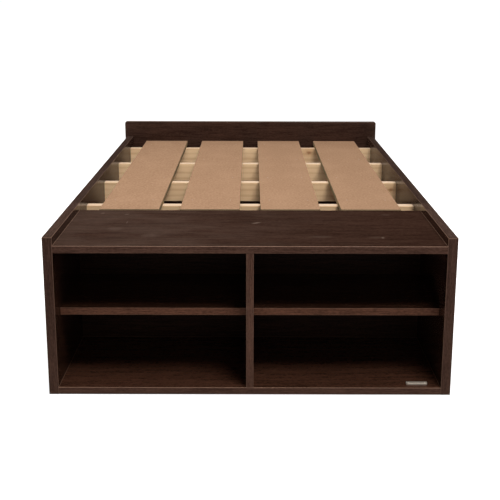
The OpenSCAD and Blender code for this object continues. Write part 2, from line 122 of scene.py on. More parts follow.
class Net:
    """One output of a graph's nodes, with arithmetic that adds Math nodes."""

    def __init__(self, graph: "Graph", socket: bpy.types.NodeSocket) -> None:
        """Keep the output and the graph it belongs to.

        Args:
            graph: The graph that makes further nodes.
            socket: The output socket.
        """
        self.graph = graph
        self.socket = socket

    def __add__(self, other: Union["Net", float]) -> "Net":
        """Return this plus other."""
        return self.graph.math("ADD", self, other)

    def __mul__(self, other: Union["Net", float]) -> "Net":
        """Return this times other."""
        return self.graph.math("MULTIPLY", self, other)

    def __sub__(self, other: Union["Net", float]) -> "Net":
        """Return this minus other."""
        return self.graph.math("SUBTRACT", self, other)

    def __rsub__(self, other: float) -> "Net":
        """Return other minus this."""
        return self.graph.math("SUBTRACT", other, self)

    def __abs__(self) -> "Net":
        """Return this without its sign."""
        return self.graph.math("ABSOLUTE", self)

    def swing(self) -> "Net":
        """Return this less a half, so that a pattern swings round 0."""
        return self - 0.5

    def between(self, low: float, high: float) -> "Net":
        """Return this, which runs from 0 to 1, brought to run from low to high."""
        return self * (high - low) + low

    def wave(self) -> "Net":
        """Return a sine wave of this, in radians, brought to 0 to 1."""
        return self.graph.math("SINE", self) * 0.5 + 0.5

    def at_least(self, other: Union["Net", float]) -> "Net":
        """Return the larger of this and other."""
        return self.graph.math("MAXIMUM", self, other)

    def ramp(self, low: float, high: float) -> "Net":
        """Return a smooth step.

        Args:
            low: Where the step is still 0. It may lie above high.
            high: Where the step reaches 1.

        Returns:
            A value from 0 to 1.
        """
        start, end = (0.0, 1.0) if low < high else (1.0, 0.0)
        sockets = {
            "Value": self,
            "From Min": min(low, high),
            "From Max": max(low, high),
            "To Min": start,
            "To Max": end,
        }
        return self.graph.node("ShaderNodeMapRange", {"interpolation_type": "SMOOTHSTEP"}, sockets)


class Graph:
    """The nodes of one material, or those of the surroundings."""

    MIX_FACTOR, MIX_FIRST, MIX_SECOND, MIX_RESULT = 0, 6, 7, 2

    def __init__(self, owner: Union[bpy.types.Material, bpy.types.World]) -> None:
        """Take over the owner's nodes, and clear them.

        Args:
            owner: The material or the world.
        """
        self.owner = owner
        owner.use_nodes = True
        self.tree = owner.node_tree
        self.tree.nodes.clear()

    def node(
        self,
        kind: str,
        settings: Optional[Dict[str, Any]] = None,
        sockets: Optional[Dict[SocketKey, Any]] = None,
        output: SocketKey = 0,
    ) -> Net:
        """Add any node.

        Args:
            kind: The node's type.
            settings: Its own settings, set first.
            sockets: Values or links of its inputs, by name or place.
            output: The output to hand back, by name or place.

        Returns:
            The chosen output.
        """
        made = self.tree.nodes.new(kind)
        for key, value in (settings or {}).items():
            setattr(made, key, value)
        for key, value in (sockets or {}).items():
            if isinstance(value, Net):
                self.tree.links.new(value.socket, made.inputs[key])
            else:
                made.inputs[key].default_value = value
        return Net(self, made.outputs[output])

    def math(self, operation: str, *terms: Union[Net, float]) -> Net:
        """Add a Math node.

        Args:
            operation: The node's operation.
            terms: Its inputs in order.

        Returns:
            Its result.
        """
        return self.node("ShaderNodeMath", {"operation": operation}, dict(enumerate(terms)))

    def mix(self, factor: Union[Net, float], first: Any, second: Any, how: str = "MIX") -> Net:
        """Blend two colours.

        Args:
            factor: How much of the second colour, 0 to 1.
            first: A colour or a link.
            second: A colour or a link.
            how: The blend type.

        Returns:
            The blended colour.
        """
        settings = {"data_type": "RGBA", "blend_type": how, "clamp_factor": True}
        sockets = {self.MIX_FACTOR: factor, self.MIX_FIRST: first, self.MIX_SECOND: second}
        return self.node("ShaderNodeMix", settings, sockets, self.MIX_RESULT)

    def place(self) -> Net:
        """Return the place on the object, in metres."""
        return self.node("ShaderNodeTexCoord", output="Object")

    def along(self, axis: Axis) -> Net:
        """Return one coordinate of the place, in metres."""
        return self.node("ShaderNodeSeparateXYZ", None, {0: self.place()}, axis.value)

    def upright(self) -> Net:
        """Return how far a face looks up: 1 for a top face, 0 for an upright one."""
        normal = self.node("ShaderNodeNewGeometry", output="Normal")
        return self.node("ShaderNodeSeparateXYZ", None, {0: normal}, Axis.Z.value)

    def away(self, *offsets: Net) -> Net:
        """Return how far off a place is, from its offsets across one another."""
        squares = [offset * offset for offset in offsets]
        return self.math("SQRT", reduce(Net.__add__, squares))

    def noise(self, pattern: Noise, seed: float = 0.0) -> Net:
        """Draw a pattern.

        Args:
            pattern: The pattern.
            seed: Moves the whole pattern, so that two boards differ.

        Returns:
            A value from 0 to 1 that is about 0.5 on average.
        """
        shift = seed + pattern.shift
        spread = {
            "Vector": self.place(),
            "Location": (shift, shift, shift),
            "Scale": tuple(1 / size for size in pattern.pitch),
        }
        sockets = {
            "Vector": self.node("ShaderNodeMapping", None, spread),
            "Scale": 1.0,
            "Detail": pattern.detail,
            "Roughness": pattern.roughness,
        }
        return self.node("ShaderNodeTexNoise", None, sockets)

    def close(self, surface: Net, output: str = "ShaderNodeOutputMaterial") -> None:
        """Join a shader to the output.

        Args:
            surface: The shader.
            output: The type of the output node.
        """
        out = self.tree.nodes.new(output)
        self.tree.links.new(surface.socket, out.inputs["Surface"])


class Finish:
    """The finish of a surface. Each kind draws its own colour, roughness and relief."""

    def draw(self, graph: Graph) -> Dict[str, Any]:
        """Draw the finish.

        Args:
            graph: An empty graph.

        Returns:
            Values or links of the sockets of the surface shader.
        """
        raise NotImplementedError

    def build(self, name: str) -> bpy.types.Material:
        """Make the material.

        Args:
            name: The material's name.

        Returns:
            The material.
        """
        graph = Graph(bpy.data.materials.new(name))
        graph.close(graph.node("ShaderNodeBsdfPrincipled", None, self.draw(graph)))
        return graph.owner

    def bump(self, graph: Graph, height: Net, depth: float) -> Net:
        """Raise the surface.

        Args:
            graph: The graph to draw in.
            height: How high each place stands, in parts of the depth.
            depth: How deep the relief is, in metres.

        Returns:
            The link for the shader's normal.
        """
        sockets = {"Strength": 1.0, "Distance": depth, "Height": height}
        return graph.node("ShaderNodeBump", None, sockets)


@dataclass(frozen=True)
class Arris:
    """The lines along which a band's edges run: the axis across them and their places. Their pale
    colour is partly rubbed edge and partly painted highlight.
    """

    axis: Axis
    places: Tuple[float, ...]


class Sheen(Enum):
    """How a dark board shines: its specular level and its roughness."""

    MATT = (0.0, 0.6)
    SILK = (0.06, 0.4)
    EGGSHELL = (0.1, 0.22)
    SATIN = (0.08, 0.1)


class Stain(Enum):
    """The wood print's darkest and lightest colour."""

    BROWN = (shade(50, 31, 23), shade(83, 58, 47))
    RUSSET = (shade(52, 31, 21), shade(87, 56, 42))
    # a greyed print: painted sheen of the light on the upper edge bands
    DUSTY = (shade(62, 45, 38), shade(92, 72, 63))


@dataclass(frozen=True)
class Scuff:
    """A pale rubbed spot on a level board.

    It has its middle, half its length and width, its turn in degrees, its strength,
    and the span over which it fades, in parts of its size.
    """

    x: float
    y: float
    length: float
    width: float
    turn: float = 0.0
    strength: float = 0.05
    fade: Span = (1.0, 0.2)

    def mask(self, graph: Graph) -> Net:
        """Mask the spot.

        Args:
            graph: The graph to draw in.

        Returns:
            The spot's strength in its middle and 0 outside it.
        """
        turn = math.radians(self.turn)
        across, deep = graph.along(Axis.X) - self.x, graph.along(Axis.Y) - self.y
        first = (across * math.cos(turn) + deep * math.sin(turn)) * (1.0 / self.length)
        second = (deep * math.cos(turn) - across * math.sin(turn)) * (1.0 / self.width)
        return graph.away(first, second).ramp(*self.fade) * self.strength


@dataclass(frozen=True)
class WoodPrint:
    """The figure printed on the dark boards, and how much each of its layers counts."""

    streaks: Streak = Streak(50 * MM, 2.8 * MM, detail=4.0)
    streak_share: float = 0.56
    bands: Streak = Streak(300 * MM, 11 * MM, shift=5.0)
    band_share: float = 0.24
    clouds: Streak = Streak(500 * MM, 70 * MM, shift=7.0, detail=2.0)
    cloud_share: float = 0.16
    flecks: Streak = Streak(9 * MM, 3.2 * MM, shift=9.0, detail=1.0)
    fleck_share: float = 0.36
    bend: Streak = Streak(400 * MM, 160 * MM, shift=11.0, detail=1.0)
    bend_turns: float = 20.0
    curve_turns: float = 150.0
    curve_share: float = 0.04
    span: Span = (0.31, 0.69)
    pores: Streak = Streak(14 * MM, 0.7 * MM, shift=3.0, detail=2.0)
    pore_span: Span = (0.42, 0.3)
    pore_strength: float = 0.5
    pore_colour: Colour = (0.012, 0.007, 0.005, 1.0)

    def depth(self, graph: Graph, grain: Axis, seed: float, streaks: Net) -> Net:
        """Draw how light the print is, apart from its pores.

        Args:
            graph: The graph to draw in.
            grain: The direction of the grain.
            seed: Moves the print.
            streaks: The finest streaks, drawn before.

        Returns:
            0 where the print is darkest and 1 where it is lightest.
        """
        bands = graph.noise(self.bands.along(grain), seed)
        clouds = graph.noise(self.clouds.along(grain), seed)
        flecks = graph.noise(self.flecks.along(grain), seed).swing()
        depth = streaks * self.streak_share + bands * self.band_share
        depth = depth + self.curves(graph, grain, seed) * self.curve_share
        depth = depth + clouds * self.cloud_share + flecks * self.fleck_share
        return depth.ramp(*self.span)

    def curves(self, graph: Graph, grain: Axis, seed: float) -> Net:
        """Draw the broad curved figure, whose turns are in radians.

        Args:
            graph: The graph to draw in.
            grain: The direction of the grain.
            seed: Moves the figure.

        Returns:
            A value from 0 to 1.
        """
        first, second = [axis for axis in Axis if axis is not grain]
        across = graph.along(first) + graph.along(second)
        bend = graph.noise(self.bend.along(grain), seed)
        return (across * self.curve_turns + bend * self.bend_turns).wave()


PRINT = WoodPrint()


@dataclass(frozen=True)
class DarkBoard(Finish):
    """Dark-brown wood-grain melamine on particle board."""

    grain: Axis
    seed: float
    tone: float = 1.0
    sheen: Sheen = Sheen.SILK
    arrises: Tuple[Arris, ...] = ()
    stain: Stain = Stain.BROWN
    rub_and_highlight: float = 0.0
    scuffs: Tuple[Scuff, ...] = ()
    # painted sheen: a pale veil that stands for the light's sheen on the top board
    painted_veil: float = 0.0
    # colour of the pale arris lines: partly rubbed edge, partly painted highlight
    rubbed_and_highlight_colour: Colour = shade(176, 140, 118)
    pale: Colour = shade(164, 142, 127)
    arris_width: float = 1.5 * MM
    patches: Noise = Noise((30 * MM, 30 * MM, 30 * MM))
    patch_strength: Span = (0.6, 1.2)
    veil_patches: Noise = Noise((140 * MM, 70 * MM, 100 * MM), shift=13.0)
    veil_patch_span: Span = (0.1, 0.8)
    painted_veil_side: Span = (0.45, -0.4)
    grain_roughness: float = 0.06
    relief: float = 0.03 * MM

    def draw(self, graph: Graph) -> Dict[str, Any]:
        """Draw the print, the pale arris lines (rubbed edges with painted highlight), the painted
        sheen veil and the scuffs.

        Args:
            graph: An empty graph.

        Returns:
            Values or links of the sockets of the surface shader.
        """
        streaks = graph.noise(PRINT.streaks.along(self.grain), self.seed)
        pores = graph.noise(PRINT.pores.along(self.grain), self.seed).ramp(*PRINT.pore_span)
        depth = PRINT.depth(graph, self.grain, self.seed, streaks)
        colour = graph.mix(depth, *self.stain.value)
        colour = graph.mix(pores * PRINT.pore_strength, colour, PRINT.pore_colour)
        colour = graph.mix(1.0, colour, (self.tone, self.tone, self.tone, 1.0), "MULTIPLY")
        # arris lines painted paler: partly rubbed edges, partly painted highlight
        for arris in self.arrises:
            colour = graph.mix(self.edge(graph, arris) * self.rub_and_highlight, colour, self.rubbed_and_highlight_colour)
        # painted sheen: a pale veil in patches, strongest towards -X
        if self.painted_veil:
            colour = graph.mix(self.painted_veil_mask(graph), colour, self.pale)
        for scuff in self.scuffs:
            colour = graph.mix(scuff.mask(graph), colour, self.pale)
        specular, smooth = self.sheen.value
        return {
            "Base Color": colour,
            "Roughness": (streaks + pores) * self.grain_roughness + smooth,
            "Normal": self.bump(graph, streaks - pores, self.relief),
            "Specular IOR Level": specular,
        }

    def painted_veil_mask(self, graph: Graph) -> Net:
        """Mask the painted sheen: a pale veil in patches, which thins out towards +X.

        Args:
            graph: The graph to draw in.

        Returns:
            The strength of the painted veil.
        """
        veil_patches = graph.noise(self.veil_patches, self.seed).ramp(*self.veil_patch_span)
        return veil_patches * graph.along(Axis.X).ramp(*self.painted_veil_side) * self.painted_veil

    def edge(self, graph: Graph, arris: Arris) -> Net:
        """Mask the pale lines along the edges of a band: partly rubbed edge, partly painted
        highlight.

        Args:
            graph: The graph to draw in.
            arris: The lines. Those across X lie on both sides of the bed.

        Returns:
            1 on the lines and 0 away from them.
        """
        place = graph.along(arris.axis)
        if arris.axis is Axis.X:
            place = abs(place)
        lines = [abs(place - edge).ramp(self.arris_width, 0.0) for edge in arris.places]
        rub_and_highlight = graph.noise(self.patches, self.seed).between(*self.patch_strength)
        return reduce(Net.at_least, lines) * rub_and_highlight


@dataclass(frozen=True)
class RawBoard(Finish):
    """Bare fibreboard: tan, matt, finely speckled, greyer along its sawn edges."""

    seed: float
    body: Colour = shade(164, 129, 101)
    body_share: float = 0.58
    fleck: Colour = shade(126, 95, 72)
    bright: Colour = shade(188, 151, 121)
    felt: Noise = Noise((7 * MM, 9 * MM, 7 * MM), detail=5.0, roughness=0.75)
    felt_span: Span = (0.3, 0.7)
    speck: Colour = shade(104, 76, 56)
    specks: Noise = Noise((0.9 * MM, 1.2 * MM, 0.9 * MM), shift=5.0, detail=2.0)
    speck_span: Span = (0.36, 0.26)
    speck_share: float = 0.35
    clouds: Noise = Noise((90 * MM, 160 * MM, 90 * MM), shift=9.0)
    cloud_start: float = 0.42
    cloud_share: float = 0.7
    sawn: Colour = shade(168, 146, 112)
    sawn_span: Span = (0.7, 0.3)
    sawn_share: Span = (0.6, 1.1)
    roughness: Span = (0.82, 0.92)
    relief: float = 0.15 * MM

    def draw(self, graph: Graph) -> Dict[str, Any]:
        """Draw the felted fibres, the specks and the sawn edges.

        Args:
            graph: An empty graph.

        Returns:
            Values or links of the sockets of the surface shader.
        """
        felt = graph.noise(self.felt, self.seed)
        specks = graph.noise(self.specks, self.seed).ramp(*self.speck_span)
        clouds = graph.noise(self.clouds, self.seed) - self.cloud_start
        sawn = abs(graph.upright()).ramp(*self.sawn_span)
        colour = graph.mix(felt.ramp(*self.felt_span), self.fleck, self.bright)
        colour = graph.mix(self.body_share, colour, self.body)
        colour = graph.mix(specks * self.speck_share, colour, self.speck)
        colour = graph.mix(clouds * self.cloud_share, colour, self.bright)
        colour = graph.mix(sawn * felt.between(*self.sawn_share), colour, self.sawn)
        return {
            "Base Color": colour,
            "Roughness": felt.between(*self.roughness),
            "Normal": self.bump(graph, felt, self.relief),
            "Specular IOR Level": 0.0,
        }


@dataclass(frozen=True)
class Knot:
    """A knot in a beam: its place and radius, and how its rings stretch and reach."""

    place: Place
    radius: float
    stretch: Place = (0.6, 0.3, 1.0)
    ripple: Noise = Noise((12 * MM, 12 * MM, 12 * MM), detail=2.0)
    ring_reach: Span = (3.2, 1.0)
    ring_share: float = 0.45
    heart_reach: Span = (1.2, 0.0)
    heart_share: float = 0.75

    def away(self, graph: Graph, seed: float) -> Net:
        """Measure how far off the knot is.

        Args:
            graph: The graph to draw in.
            seed: Moves the ripples of its rings.

        Returns:
            The distance in radii of the knot.
        """
        offsets = [
            (graph.along(axis) - self.place[axis.value]) * self.stretch[axis.value]
            for axis in Axis
        ]
        ripple = graph.noise(self.ripple, seed).swing()
        return graph.away(*offsets) * (1.0 / self.radius) + ripple


@dataclass(frozen=True)
class PlanedPine(Finish):
    """Planed pine with its growth rings, running along an axis.

    The pith is where the rings have their middle, on the two axes across the grain.
    """

    grain: Axis
    seed: float
    pith: Tuple[float, float]
    knots: Tuple[Knot, ...] = ()
    early: Colour = shade(251, 212, 166)
    late: Colour = shade(209, 159, 111)
    heart: Colour = shade(156, 92, 50)
    sway: Streak = Streak(450 * MM, 80 * MM, detail=2.0)
    sway_reach: Tuple[float, float] = (30 * MM, 20 * MM)
    ring_turns: float = 430.0
    ring_span: Span = (0.4, 1.0)
    ring_share: float = 0.3
    fibres: Streak = Streak(120 * MM, 0.9 * MM, shift=2.0)
    fibre_share: float = 0.4
    clouds: Streak = Streak(220 * MM, 25 * MM, shift=4.0, detail=2.0)
    cloud_start: float = 0.47
    cloud_share: float = 0.9
    # painted sheen: the upper faces are painted greyer, for the light washing out their colour
    painted_top_sheen: Colour = shade(146, 136, 132)
    painted_top_sheen_span: Span = (0.7, 0.9)
    painted_top_sheen_share: float = 0.45
    roughness: Span = (0.56, 0.68)
    specular: float = 0.25
    relief: float = 0.1 * MM

    def draw(self, graph: Graph) -> Dict[str, Any]:
        """Draw the rings, the fibres, the painted sheen on the upper face and the knots.

        Args:
            graph: An empty graph.

        Returns:
            Values or links of the sockets of the surface shader.
        """
        fibres = graph.noise(self.fibres.along(self.grain), self.seed)
        clouds = graph.noise(self.clouds.along(self.grain), self.seed)
        amount = self.rings(graph) * self.ring_share + fibres.swing() * self.fibre_share
        amount = amount + (clouds - self.cloud_start) * self.cloud_share
        # painted sheen: greyer where a face looks up
        top_sheen_amount = graph.upright().ramp(*self.painted_top_sheen_span) * self.painted_top_sheen_share
        colour = graph.mix(amount, self.early, self.late)
        colour = graph.mix(top_sheen_amount, colour, self.painted_top_sheen)
        for knot in self.knots:
            away = knot.away(graph, self.seed)
            colour = graph.mix(away.ramp(*knot.ring_reach) * knot.ring_share, colour, self.late)
            colour = graph.mix(away.ramp(*knot.heart_reach) * knot.heart_share, colour, self.heart)
        return {
            "Base Color": colour,
            "Roughness": fibres.between(*self.roughness),
            "Normal": self.bump(graph, fibres, self.relief),
            "Specular IOR Level": self.specular,
        }

    def rings(self, graph: Graph) -> Net:
        """Draw the growth rings, whose turns are in radians.

        Args:
            graph: The graph to draw in.

        Returns:
            1 on the dark late wood and 0 between.
        """
        sway = graph.noise(self.sway.along(self.grain), self.seed)
        others = [axis for axis in Axis if axis is not self.grain]
        offsets = [
            graph.along(axis) - middle + sway * reach
            for axis, middle, reach in zip(others, self.pith, self.sway_reach)
        ]
        return (graph.away(*offsets) * self.ring_turns).wave().ramp(*self.ring_span)


@dataclass(frozen=True)
class PlatedSteel(Finish):
    """Zinc-plated steel of the fittings. Other colours make it dark, as painted shade on the shelf
    pins.
    """

    body: Colour = shade(178, 180, 182)
    hazed: Colour = shade(136, 138, 142)
    haze: Noise = Noise((3 * MM, 3 * MM, 3 * MM), detail=4.0, roughness=0.6)
    haze_span: Span = (0.35, 0.7)
    haze_share: float = 0.5
    roughness: Span = (0.22, 0.47)
    metallic: float = 1.0
    relief: float = 0.02 * MM

    def draw(self, graph: Graph) -> Dict[str, Any]:
        """Draw the haze of the plating.

        Args:
            graph: An empty graph.

        Returns:
            Values or links of the sockets of the surface shader.
        """
        haze = graph.noise(self.haze)
        dulled = haze.ramp(*self.haze_span) * self.haze_share
        return {
            "Base Color": graph.mix(dulled, self.body, self.hazed),
            "Roughness": haze.between(*self.roughness),
            "Normal": self.bump(graph, haze, self.relief),
            "Metallic": self.metallic,
        }


@dataclass(frozen=True)
class Moulded(Finish):
    """Fine-textured moulded plastic of the caps and glides."""

    body: Colour = shade(46, 33, 27)
    raised: Colour = shade(62, 46, 38)
    texture: Noise = Noise((0.6 * MM, 0.6 * MM, 0.6 * MM), detail=2.0)
    texture_span: Span = (0.3, 0.8)
    texture_share: float = 0.4
    roughness: Span = (0.45, 0.6)
    specular: float = 0.3
    relief: float = 0.04 * MM

    def draw(self, graph: Graph) -> Dict[str, Any]:
        """Draw the texture of the mould.

        Args:
            graph: An empty graph.

        Returns:
            Values or links of the sockets of the surface shader.
        """
        texture = graph.noise(self.texture)
        raised = texture.ramp(*self.texture_span) * self.texture_share
        return {
            "Base Color": graph.mix(raised, self.body, self.raised),
            "Roughness": texture.between(*self.roughness),
            "Normal": self.bump(graph, texture, self.relief),
            "Specular IOR Level": self.specular,
        }


@dataclass(frozen=True)
class SatinPlate(Finish):
    """Satin metal of the bare plate, brushed along its length."""

    body: Colour = shade(198, 185, 170)
    scored: Colour = shade(120, 112, 102)
    brushing: Streak = Streak(20 * MM, 0.18 * MM)
    brushing_span: Span = (0.3, 0.75)
    brushing_share: float = 0.5
    roughness: Span = (0.25, 0.4)
    haze: Noise = Noise((6 * MM, 6 * MM, 6 * MM), shift=2.0, detail=2.0)
    haze_roughness: float = 0.1
    metallic: float = 0.45
    relief: float = 0.02 * MM

    def draw(self, graph: Graph) -> Dict[str, Any]:
        """Draw the brushing.

        Args:
            graph: An empty graph.

        Returns:
            Values or links of the sockets of the surface shader.
        """
        brushing = graph.noise(self.brushing.along(Axis.X))
        scored = brushing.ramp(*self.brushing_span) * self.brushing_share
        haze = graph.noise(self.haze) * self.haze_roughness
        return {
            "Base Color": graph.mix(scored, self.body, self.scored),
            "Roughness": brushing.between(*self.roughness) + haze,
            "Normal": self.bump(graph, brushing, self.relief),
            "Metallic": self.metallic,
        }


def dress(node: str, finish: Finish) -> None:
    """Give a node of the model its finish.

    Args:
        node: The node's name.
        finish: The finish.
    """
    made = finish.build(node)
    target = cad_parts[node]
    if not target.material_slots:
        target.data.materials.append(made)
    for material_slot in target.material_slots:
        material_slot.material = made
    LOG.info("%s: %s", node, type(finish).__name__)


def painted_sheen_band(seed: float, tone: float, arrises: Tuple[Arris, ...], rub_and_highlight: float) -> DarkBoard:
    """Return the finish of the bands on the upper edges of the sides, greyed as painted sheen of
    the light on them.

    Args:
        seed: Moves the print.
        tone: How light it is.
        arrises: Its pale lines, partly rubbed edge, partly painted highlight.
        rub_and_highlight: How strong those lines are.

    Returns:
        The finish.
    """
    return DarkBoard(Axis.Y, seed, tone, Sheen.MATT, arrises, Stain.DUSTY, rub_and_highlight)


@dataclass
class NicheUnit:
    """The niche unit at the foot: two sides, three boards, divider, shelves and back.

    The boards are numbered in the order in which they are dressed, and each number
    moves the wood print on by one shift.
    """

    side_tone: float = 0.57
    # painted shade: the left side is made darker than the right, as the light comes from the right
    shaded_left_tone: float = 0.47
    top_tone: float = 0.6
    floor_tone: float = 0.9
    back_tone: float = 0.4
    board_shift: float = 1.7
    top_scuffs: Tuple[Scuff, ...] = (
        Scuff(-0.426, -0.560, 0.008, 0.014, strength=0.1),
        Scuff(-0.355, -0.575, 0.009, 0.012, turn=-30.0, strength=0.12),
        Scuff(-0.342, -0.682, 0.003, 0.020, strength=0.12),
        Scuff(0.017, -0.688, 0.020, 0.008, turn=35.0, strength=0.28),
        Scuff(0.347, -0.865, 0.006, 0.012, strength=0.2),
        Scuff(0.330, -0.862, 0.030, 0.014),
        Scuff(0.185, -0.855, 0.045, 0.020),
        Scuff(0.389, -0.575, 0.018, 0.016),
        Scuff(-0.366, -0.765, 0.030, 0.035),
        Scuff(-0.264, -0.842, 0.035, 0.030),
    )

    def dress(self) -> None:
        """Finish the boards and their edge bands."""
        # pale corner lines where the boards meet the sides: partly rubbed, partly painted highlight
        corner = (Arris(Axis.X, (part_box("top_board")[1].x,)),)
        dress("side_left", self.upright_board(0, Axis.Y, self.shaded_left_tone))
        dress("side_right", self.upright_board(1, Axis.Y, self.side_tone))
        dress("top_board", self.top_board(2, corner))
        dress("bottom_board", self.level_board(3, corner))
        dress("divider", self.upright_board(4, Axis.Z, self.side_tone))
        dress("shelf_left", self.level_board(5))
        dress("shelf_right", self.level_board(6))
        dress("niche_back", self.back(7))
        self.dress_board_bands()
        self.dress_side_bands()

    def upright_board(self, number: int, grain: Axis, tone: float) -> DarkBoard:
        """Return the finish of a side or of the divider.

        Args:
            number: The board's number.
            grain: The direction of its grain.
            tone: How light it is.

        Returns:
            The finish.
        """
        seed = self.board_shift * number
        return DarkBoard(grain, seed, tone, Sheen.SATIN, stain=Stain.RUSSET)

    def level_board(self, number: int, corner: Tuple[Arris, ...] = ()) -> DarkBoard:
        """Return the finish of a shelf or of the bottom board.

        Args:
            number: The board's number.
            corner: The pale lines where it meets the sides, partly rubbed, partly painted
                highlight.

        Returns:
            The finish.
        """
        seed = self.board_shift * number
        return DarkBoard(
            Axis.X, seed, self.floor_tone, Sheen.SATIN, corner, Stain.RUSSET, rub_and_highlight=0.45
        )

    def top_board(self, number: int, corner: Tuple[Arris, ...]) -> DarkBoard:
        """Return the finish of the top board, with a painted sheen veil and scuffs in places.

        Args:
            number: The board's number.
            corner: The pale lines where it meets the sides, partly rubbed, partly painted
                highlight.

        Returns:
            The finish.
        """
        return DarkBoard(
            Axis.X,
            self.board_shift * number,
            self.top_tone,
            Sheen.MATT,
            corner,
            rub_and_highlight=0.55,
            scuffs=self.top_scuffs,
            # painted sheen: a pale veil on the top board, fading towards +X
            painted_veil=0.085,
        )

    def back(self, number: int) -> DarkBoard:
        """Return the finish of the niche back, with a painted highlight: the pale line along the
        floor.

        Args:
            number: The back's number in the order of the boards.

        Returns:
            The finish.
        """
        line = (Arris(Axis.Z, (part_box("bottom_board")[1].z,)),)
        seed = self.board_shift * number
        return DarkBoard(Axis.X, seed, self.back_tone, Sheen.SILK, line, Stain.RUSSET, rub_and_highlight=0.2)

    def dress_board_bands(self) -> None:
        """Finish the edge bands of the boards, the shelves and the divider."""
        top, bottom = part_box("top_board"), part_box("bottom_board")
        shelf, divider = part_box("shelf_left"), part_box("divider")
        # pale arris lines on the bands: partly rubbed edge, partly painted highlight
        boards = (Arris(Axis.Z, (top[1].z, bottom[1].z)),)
        shelves = (Arris(Axis.Z, (shelf[0].z, shelf[1].z)),)
        middle = (Arris(Axis.X, (divider[1].x,)),)
        board_band = DarkBoard(Axis.X, seed=21.0, tone=1.22, arrises=boards, rub_and_highlight=0.85)
        shelf_band = DarkBoard(
            Axis.X, seed=22.0, tone=1.75, arrises=shelves, stain=Stain.RUSSET, rub_and_highlight=0.35
        )
        divider_band = DarkBoard(Axis.Z, seed=23.0, tone=1.34, arrises=middle, rub_and_highlight=0.3)
        dress("board_edge_bands", board_band)
        dress("shelf_edge_bands", shelf_band)
        dress("divider_edge_band", divider_band)

    def dress_side_bands(self) -> None:
        """Finish the edge bands of the sides, with pale lines along their arrises: partly rubbed
        edge, partly painted highlight.
        """
        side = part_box("side_right")
        across = Arris(Axis.X, (side[0].x, side[1].x))
        front = (across, Arris(Axis.Z, (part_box("side_front_bands")[1].z,)))
        top = (across, Arris(Axis.Y, (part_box("side_top_bands")[0].y,)))
        front_band = DarkBoard(Axis.Z, seed=24.0, tone=0.94, arrises=front, rub_and_highlight=0.38)
        dress("side_front_bands", front_band)
        # painted sheen: the upper bands get a greyed print
        dress("side_top_bands", painted_sheen_band(seed=25.0, tone=0.84, arrises=top, rub_and_highlight=0.4))


@dataclass
class Surround:
    """The long rails and the head panel."""

    rail_tone: float = 0.7
    # painted shade: the left rail is made darker than the right, as the light comes from the right
    shaded_left_tone: float = 0.62
    head_tone: float = 0.74

    def dress(self) -> None:
        """Finish the rails, the head panel and their edge bands."""
        rail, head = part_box("rail_right"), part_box("head_panel")
        across = (Arris(Axis.X, (rail[0].x, rail[1].x)),)
        edges = (Arris(Axis.Y, (head[0].y, head[1].y)),)
        left_rail = DarkBoard(Axis.Y, seed=31.0, tone=self.shaded_left_tone, sheen=Sheen.EGGSHELL)
        right_rail = DarkBoard(Axis.Y, seed=33.0, tone=self.rail_tone, sheen=Sheen.EGGSHELL)
        dress("rail_left", left_rail)
        dress("rail_right", right_rail)
        dress("head_panel", DarkBoard(Axis.X, seed=35.0, tone=self.head_tone))
        # painted sheen: the rail tops' bands get a greyed print
        dress("rail_edge_bands", painted_sheen_band(seed=37.0, tone=0.62, arrises=across, rub_and_highlight=0.3))
        dress("head_edge_band", DarkBoard(Axis.X, seed=39.0, arrises=edges, rub_and_highlight=0.3))


@dataclass
class Deck:
    """The beams, their cleats, the corner blocks and the slats."""

    beams: int = 4
    slats: int = 4
    sides: Tuple[str, str] = ("left", "right")
    beam_shift: float = 2.3
    beam_pith: Tuple[float, float] = (30 * MM, -20 * MM)
    cleat_shift: float = 3.1
    cleat_pith: Tuple[float, float] = (0.0, -30 * MM)
    block_seed: float = 17.0
    block_pith: Tuple[float, float] = (-20 * MM, -10 * MM)
    slat_shift: float = 4.1

    def dress(self) -> None:
        """Finish the pine and the raw board."""
        for number in range(1, self.beams + 1):
            self.dress_beam(number)
            seed = self.cleat_shift * number
            for side in self.sides:
                self.dress_block(f"cleat_{side}_{number}", seed, self.cleat_pith)
        for side in self.sides:
            self.dress_block(f"corner_block_{side}", self.block_seed, self.block_pith)
        for number in range(1, self.slats + 1):
            dress(f"slat_{number}", RawBoard(self.slat_shift * number))

    def dress_beam(self, number: int) -> None:
        """Finish a beam, whose pith lies behind it and below it.

        Args:
            number: The beam's number, from the foot.
        """
        node = f"cross_beam_{number}"
        low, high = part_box(node)
        pith = (high.y + self.beam_pith[0] * number, low.z + self.beam_pith[1] * number)
        knots = self.knots(number, low, high)
        dress(node, PlanedPine(Axis.X, self.beam_shift * number, pith, knots))

    def dress_block(self, node: str, seed: float, pith: Tuple[float, float]) -> None:
        """Finish a cleat or a corner block, whose grain stands upright.

        Args:
            node: The block's node.
            seed: Moves its grain.
            pith: How far its pith lies off its lowest corner, along X and Y.
        """
        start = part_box(node)[0]
        dress(node, PlanedPine(Axis.Z, seed, (start.x + pith[0], start.y + pith[1])))

    def knots(self, number: int, low: Vector, high: Vector) -> Tuple[Knot, ...]:
        """Place the knots of one beam on its front face.

        Args:
            number: The beam's number, from the foot.
            low: The beam's lowest corner.
            high: The beam's highest corner.

        Returns:
            The beam's knots.
        """
        middle = (low.z + high.z) / 2
        knots = {
            2: (Knot((0.483, low.y, middle + 9 * MM), radius=7 * MM),),
            4: (Knot((0.245, low.y, middle + 16 * MM), radius=9 * MM),),
        }
        return knots.get(number, ())


